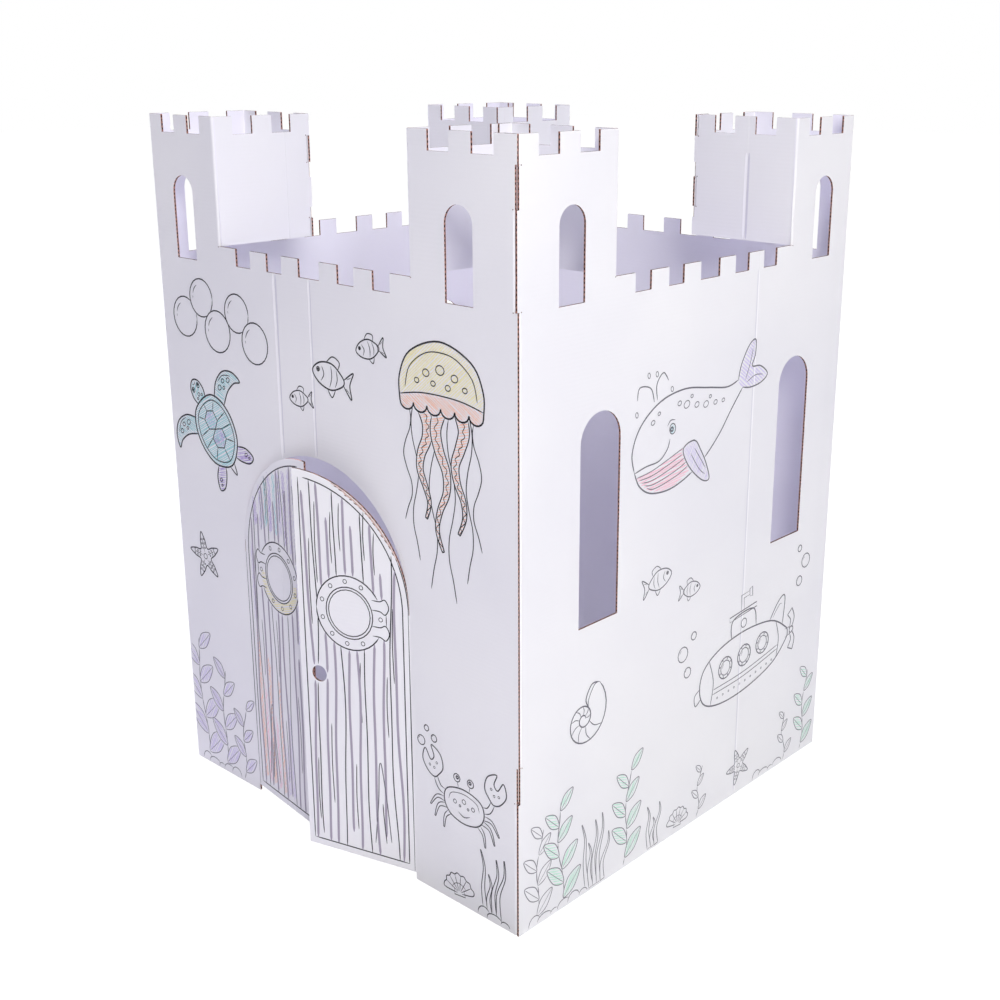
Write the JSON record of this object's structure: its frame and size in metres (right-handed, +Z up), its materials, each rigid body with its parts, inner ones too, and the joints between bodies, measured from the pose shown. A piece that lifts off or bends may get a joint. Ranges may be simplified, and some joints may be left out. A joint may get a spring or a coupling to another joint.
{
  "type": "cardboard play castle",
  "caption": "Walk-in play castle of white-lined corrugated board, with open corner towers, arched windows, battlements and a pair of hinged door leaves.",
  "frame": {"origin": "on the floor, under the middle of the back wall's length and thickness", "axes": "+Z up; the front wall with the door faces -Y; +X to the right of someone who faces the door from outside"},
  "size_m": [0.813, 0.8685, 1.147],
  "materials": {
    "white_board": "smooth white printed liner, faint flute lines",
    "door_board": "smooth white printed liner, faint flute lines",
    "raw_edge": "bare brown flutes, matte",
    "printed_line": "flat dark printed line",
    "coloured_pencil": "dry pencil strokes"
  },
  "bodies": {
    "castle_walls": {"front_and_left_wall": "white_board", "right_and_back_wall": "white_board"},
    "right_door": {"right_door_leaf": "door_board"},
    "left_door": {"left_door_leaf": "door_board"}
  },
  "joints": [
    {"name": "right_door_crease", "type": "hinge", "parent": "castle_walls", "child": "right_door", "pos_m": [0.1865, -0.81125, 0.3], "axis": [0, 0, 1], "range_deg": [-16, 134]},
    {"name": "left_door_crease", "type": "hinge", "parent": "castle_walls", "child": "left_door", "pos_m": [-0.2165, -0.81125, 0.3], "axis": [0, 0, -1], "range_deg": [-7, 143]}
  ]
}
